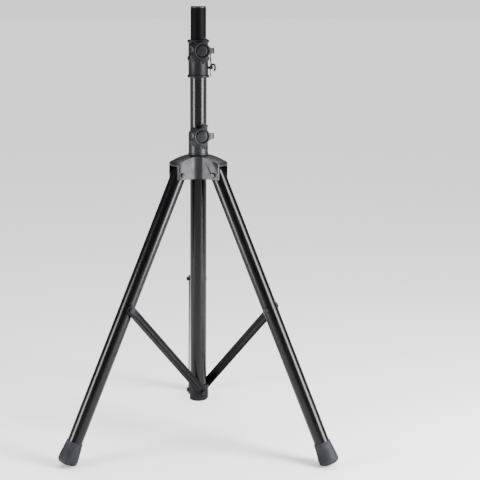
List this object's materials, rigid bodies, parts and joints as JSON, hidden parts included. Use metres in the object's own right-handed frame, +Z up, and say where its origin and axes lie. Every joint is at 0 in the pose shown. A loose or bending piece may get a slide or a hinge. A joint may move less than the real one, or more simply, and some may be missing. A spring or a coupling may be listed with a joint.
{
  "type": "speaker tripod stand",
  "caption": "Black telescoping speaker stand with a sliding three-leg hub, folding braces, clamp knobs and rubber feet.",
  "frame": {"origin": "on the floor, under the middle of the footprint's box; the mast's axis is 84 mm in front of it", "axes": "+Z up along the mast, the third leg points to +Y and the clamp knobs face -Y"},
  "size_m": [0.6282, 0.55, 1.0167],
  "materials": {
    "black_paint": "gloss black powder-coated steel tube",
    "satin_pole": "satin black coated steel tube",
    "nylon": "moulded black glass-filled nylon",
    "rubber": "moulded black rubber",
    "zinc": "zinc-plated steel fasteners"
  },
  "bodies": {
    "hub": {"leg_hub": "nylon", "hub_bush": "nylon", "hub_collar": "nylon", "leg_pivot_bolt_1": "zinc", "leg_pivot_bolt_2": "zinc", "leg_pivot_bolt_3": "zinc", "leg_pivot_nut_1": "zinc", "leg_pivot_nut_2": "zinc", "leg_pivot_nut_3": "zinc"},
    "mast": {"lower_tube": "black_paint", "base_bracket": "nylon", "top_collar": "nylon"},
    "pole": {"inner_pole": "satin_pole", "pole_cap": "nylon", "pole_plug": "nylon"},
    "leg_1": {"leg_tube_1": "black_paint", "leg_plug_1": "nylon", "foot_1": "rubber", "brace_pivot_bolt_1": "zinc", "brace_pivot_nut_1": "zinc", "brace_spacer_1": "nylon"},
    "leg_2": {"leg_tube_2": "black_paint", "leg_plug_2": "nylon", "foot_2": "rubber", "brace_pivot_bolt_2": "zinc", "brace_pivot_nut_2": "zinc", "brace_spacer_2": "nylon"},
    "leg_3": {"leg_tube_3": "black_paint", "leg_plug_3": "nylon", "foot_3": "rubber", "brace_pivot_bolt_3": "zinc", "brace_pivot_nut_3": "zinc", "brace_spacer_3": "nylon"},
    "strut_1": {"brace_1": "black_paint", "brace_foot_rivet_1": "zinc"},
    "strut_2": {"brace_2": "black_paint", "brace_foot_rivet_2": "zinc"},
    "strut_3": {"brace_3": "black_paint", "brace_foot_rivet_3": "zinc"},
    "hub_clamp": {"hub_knob": "nylon", "hub_knob_screw": "zinc"},
    "top_clamp": {"top_knob": "nylon", "top_knob_screw": "zinc"},
    "safety_pin": {"lock_pin": "zinc"}
  },
  "joints": [
    {"name": "mast_slide", "type": "slide", "parent": "hub", "child": "mast", "axis": [0, 0, -1], "range_m": [0, 0.09224]},
    {"name": "pole_slide", "type": "slide", "parent": "mast", "child": "pole", "axis": [0, 0, 1], "range_m": [0, 0.6]},
    {"name": "leg_fold_1", "type": "hinge", "parent": "hub", "child": "leg_1", "pos_m": [0.04417, -0.10942, 0.6404], "axis": [0.5, 0.866, 0], "range_deg": [0, 24.6]},
    {"name": "strut_fold_1", "type": "hinge", "parent": "leg_1", "child": "strut_1", "pos_m": [0.16133, -0.17707, 0.3449], "axis": [0.5, 0.866, 0], "range_deg": [-54.22, 0]},
    {"name": "leg_fold_2", "type": "hinge", "parent": "hub", "child": "leg_2", "pos_m": [0, -0.03292, 0.6404], "axis": [-1, 0, 0], "range_deg": [0, 24.6]},
    {"name": "strut_fold_2", "type": "hinge", "parent": "leg_2", "child": "strut_2", "pos_m": [0, 0.10237, 0.3449], "axis": [-1, 0, 0], "range_deg": [-54.22, 0]},
    {"name": "leg_fold_3", "type": "hinge", "parent": "hub", "child": "leg_3", "pos_m": [-0.04417, -0.10942, 0.6404], "axis": [0.5, -0.866, 0], "range_deg": [0, 24.6]},
    {"name": "strut_fold_3", "type": "hinge", "parent": "leg_3", "child": "strut_3", "pos_m": [-0.16133, -0.17707, 0.3449], "axis": [0.5, -0.866, 0], "range_deg": [-54.22, 0]},
    {"name": "hub_clamp_turn", "type": "hinge", "parent": "hub", "child": "hub_clamp", "pos_m": [0, -0.08392, 0.7287], "axis": [0.1736, -0.9848, 0], "range_deg": [0, 540]},
    {"name": "top_clamp_turn", "type": "hinge", "parent": "mast", "child": "top_clamp", "pos_m": [0, -0.08392, 0.9192], "axis": [0.1736, -0.9848, 0], "range_deg": [0, 540]},
    {"name": "pin_pull", "type": "slide", "parent": "mast", "child": "safety_pin", "axis": [1, 0, 0], "range_m": [0, 0.045]}
  ],
  "couplings": [
    {"joint": "leg_fold_1", "follows": "mast_slide", "rad_per_m": 4.6547},
    {"joint": "strut_fold_1", "follows": "mast_slide", "rad_per_m": -10.26},
    {"joint": "leg_fold_2", "follows": "mast_slide", "rad_per_m": 4.6547},
    {"joint": "strut_fold_2", "follows": "mast_slide", "rad_per_m": -10.26},
    {"joint": "leg_fold_3", "follows": "mast_slide", "rad_per_m": 4.6547},
    {"joint": "strut_fold_3", "follows": "mast_slide", "rad_per_m": -10.26}
  ]
}
